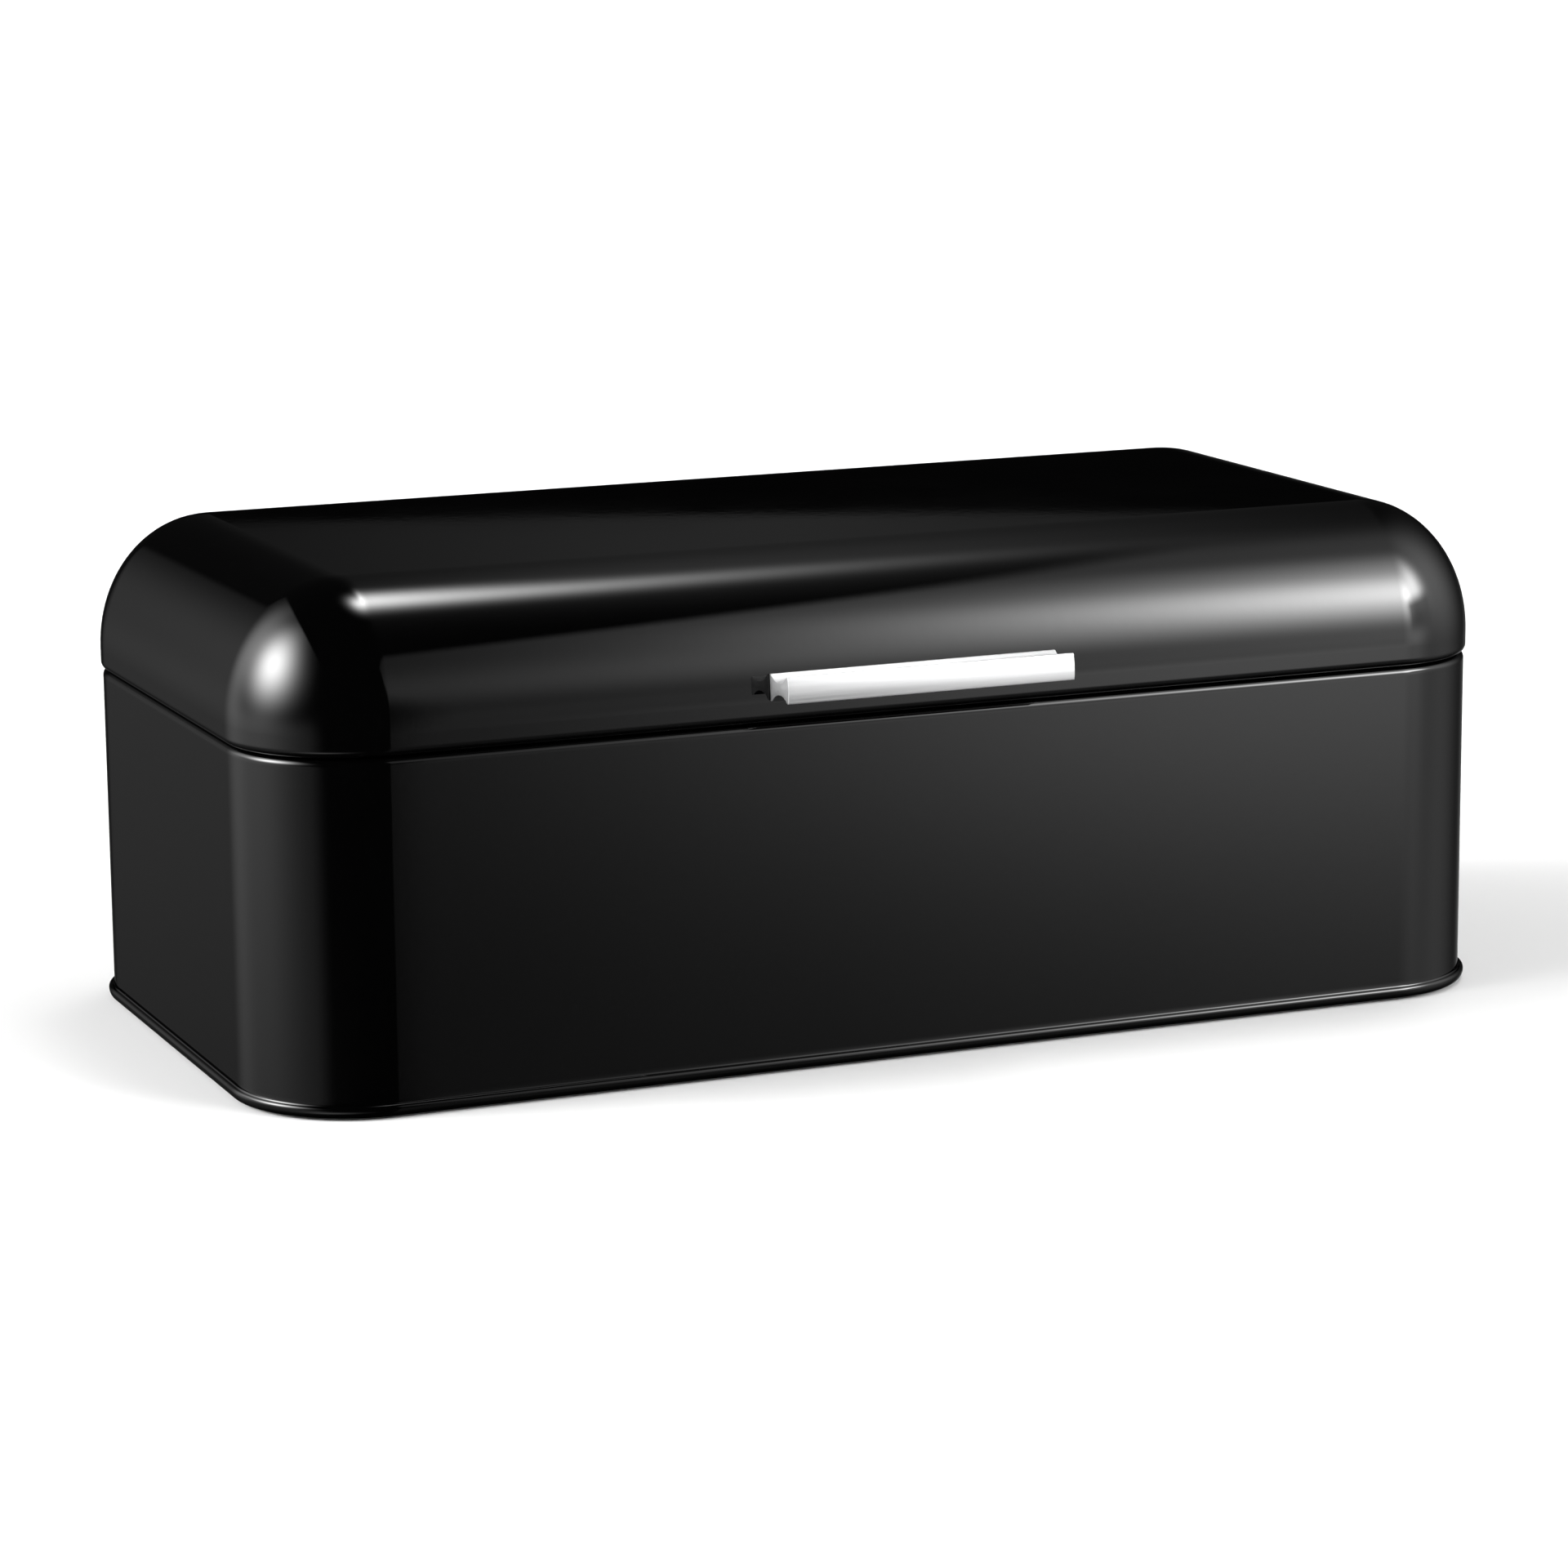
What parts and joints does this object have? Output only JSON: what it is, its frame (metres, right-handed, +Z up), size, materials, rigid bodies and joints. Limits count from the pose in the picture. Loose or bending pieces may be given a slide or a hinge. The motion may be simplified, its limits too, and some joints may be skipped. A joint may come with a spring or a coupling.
{
  "type": "bread box",
  "caption": "Retro steel bread box with rounded corners, a domed lid hinged at the rear, a seamed bottom bead and a short aluminium bar handle.",
  "frame": {"origin": "on the table, at the bottom centre of the whole box's bounding box with its handle and hinges", "axes": "+X to the right along the length, +Y from the front with the handle to the rear with the hinges, +Z up"},
  "size_m": [0.4236, 0.2342, 0.1596],
  "materials": {
    "black_enamel": "gloss black baked enamel",
    "brushed_aluminium": "satin, finely brushed along its length",
    "bright_steel": "bright zinc plate",
    "black_rubber": "matt"
  },
  "bodies": {
    "box": {"body_wall": "black_enamel", "base_pan": "black_enamel", "foot_front_left": "black_rubber", "foot_front_right": "black_rubber", "foot_rear_left": "black_rubber", "foot_rear_right": "black_rubber", "hinge_body_leaf_left": "black_enamel", "hinge_body_leaf_right": "black_enamel", "hinge_pin_left": "bright_steel", "hinge_pin_right": "bright_steel", "body_rivet_left_outer": "bright_steel", "body_rivet_left_inner": "bright_steel", "body_rivet_right_outer": "bright_steel", "body_rivet_right_inner": "bright_steel"},
    "lid": {"lid_shell": "black_enamel", "handle_bar": "brushed_aluminium", "handle_screw_left": "bright_steel", "handle_screw_right": "bright_steel", "handle_washer_left": "bright_steel", "handle_washer_right": "bright_steel", "hinge_lid_leaf_left": "black_enamel", "hinge_lid_leaf_right": "black_enamel", "lid_rivet_left_outer": "bright_steel", "lid_rivet_left_inner": "bright_steel", "lid_rivet_right_outer": "bright_steel", "lid_rivet_right_inner": "bright_steel"}
  },
  "joints": [
    {"name": "lid_hinge", "type": "hinge", "parent": "box", "child": "lid", "pos_m": [0, 0.11112, 0.1099], "axis": [-1, 0, 0], "range_deg": [0, 100]}
  ]
}
